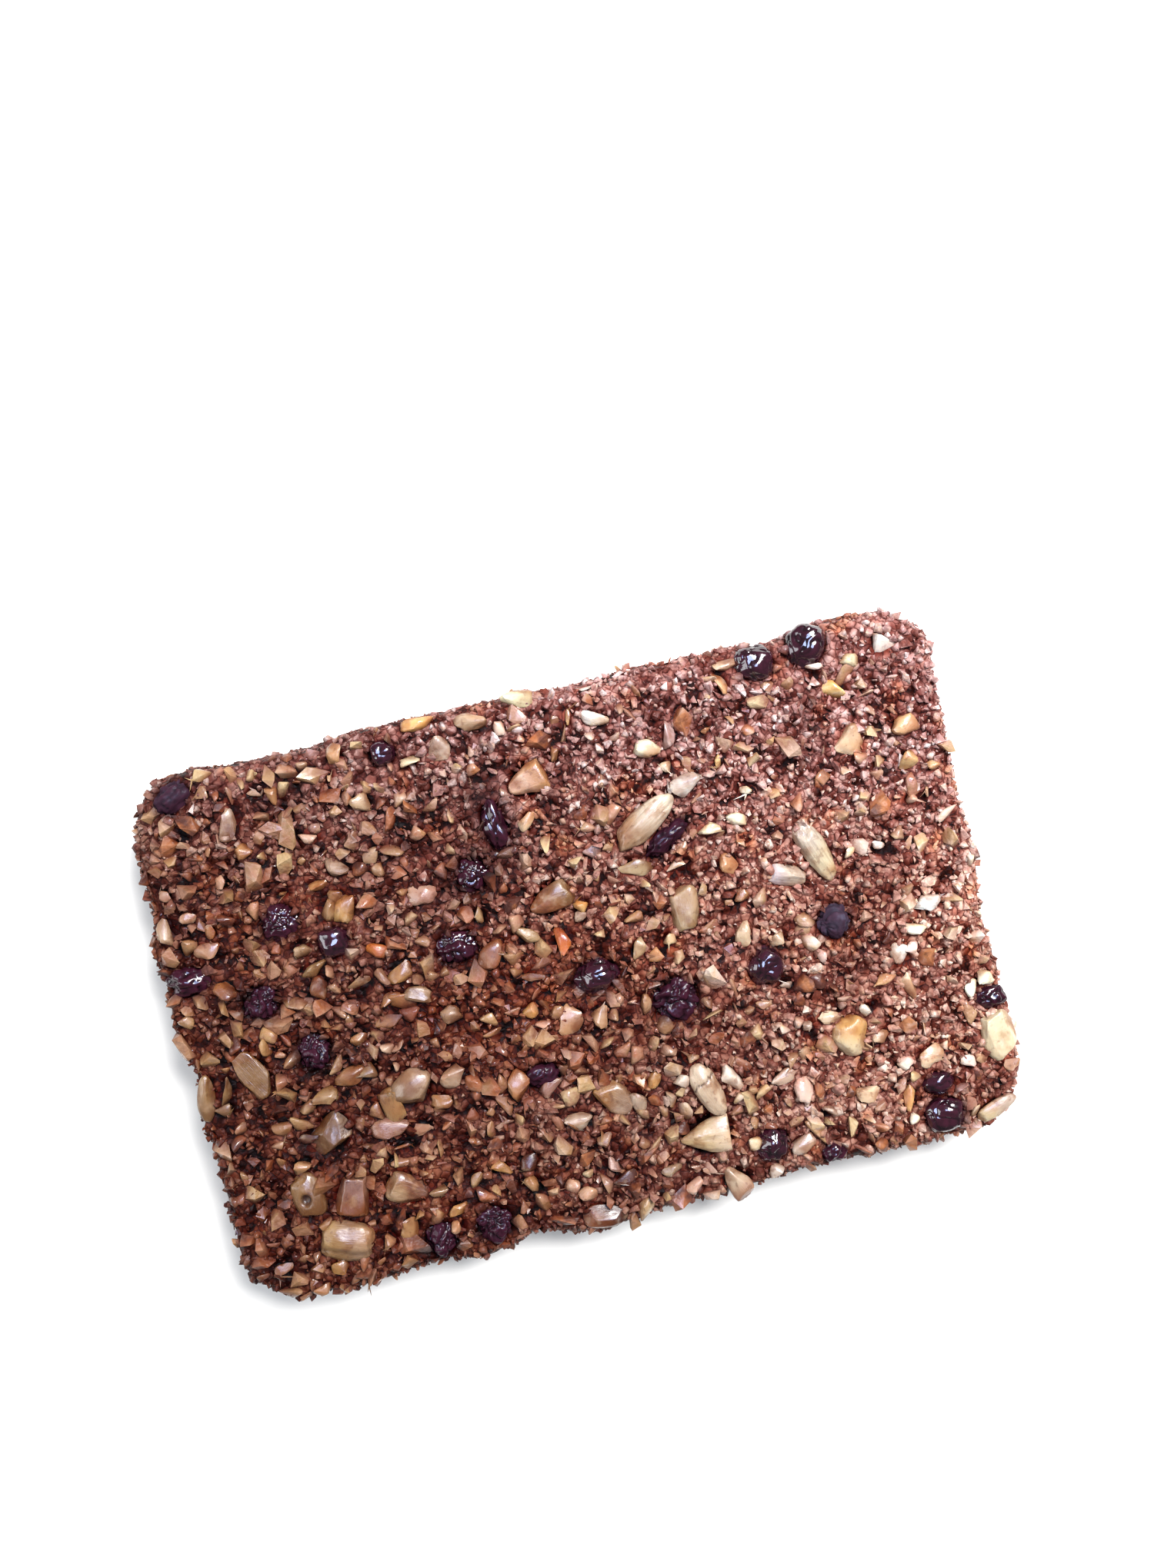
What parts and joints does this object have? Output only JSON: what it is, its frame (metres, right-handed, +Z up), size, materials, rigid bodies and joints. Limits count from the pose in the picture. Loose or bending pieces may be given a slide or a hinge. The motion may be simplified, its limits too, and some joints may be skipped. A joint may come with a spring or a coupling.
{
  "type": "energy bar",
  "caption": "Flat rectangular bar of pressed seed crumb with whole seed kernels, chopped nut chips and glossy dark berries set in its uneven top",
  "frame": {"origin": "Centre of the underside, on the surface the bar lies on", "axes": "X along the long side, Y along the short side, Z up through the thickness"},
  "size_m": [0.0989, 0.0662, 0.0101],
  "materials": {
    "crumb": "matte, sticky in places",
    "berry": "glossy, wrinkled",
    "kernel": "satin"
  },
  "bodies": {
    "root": {"bar": "crumb", "berry_01": "berry", "berry_02": "berry", "berry_03": "berry", "berry_04": "berry", "berry_05": "berry", "berry_06": "berry", "berry_07": "berry", "berry_08": "berry", "berry_09": "berry", "berry_10": "berry", "berry_11": "berry", "berry_12": "berry", "berry_13": "berry", "berry_14": "berry", "berry_15": "berry", "berry_16": "berry", "berry_17": "berry", "berry_18": "berry", "berry_19": "berry", "berry_20": "berry", "berry_21": "berry", "berry_22": "berry", "berry_23": "berry", "berry_24": "berry", "berry_25": "berry", "kernel_long": "kernel", "kernel_upright": "kernel", "kernel_half": "kernel", "kernel_cracked": "kernel", "kernel_fan": "kernel", "kernel_block": "kernel", "kernel_amber": "kernel", "kernel_slice": "kernel", "kernel_holed": "kernel", "kernel_domed": "kernel", "kernel_olive": "kernel", "kernel_two_tone": "kernel", "kernel_glassy": "kernel", "kernel_tall": "kernel", "kernel_three_sided": "kernel", "kernel_grooved": "kernel", "kernel_rim": "kernel", "kernel_corner": "kernel", "kernel_brown": "kernel", "kernel_spur": "kernel", "kernel_glassy_small": "kernel", "kernel_amber_dark": "kernel"}
  },
  "joints": []
}
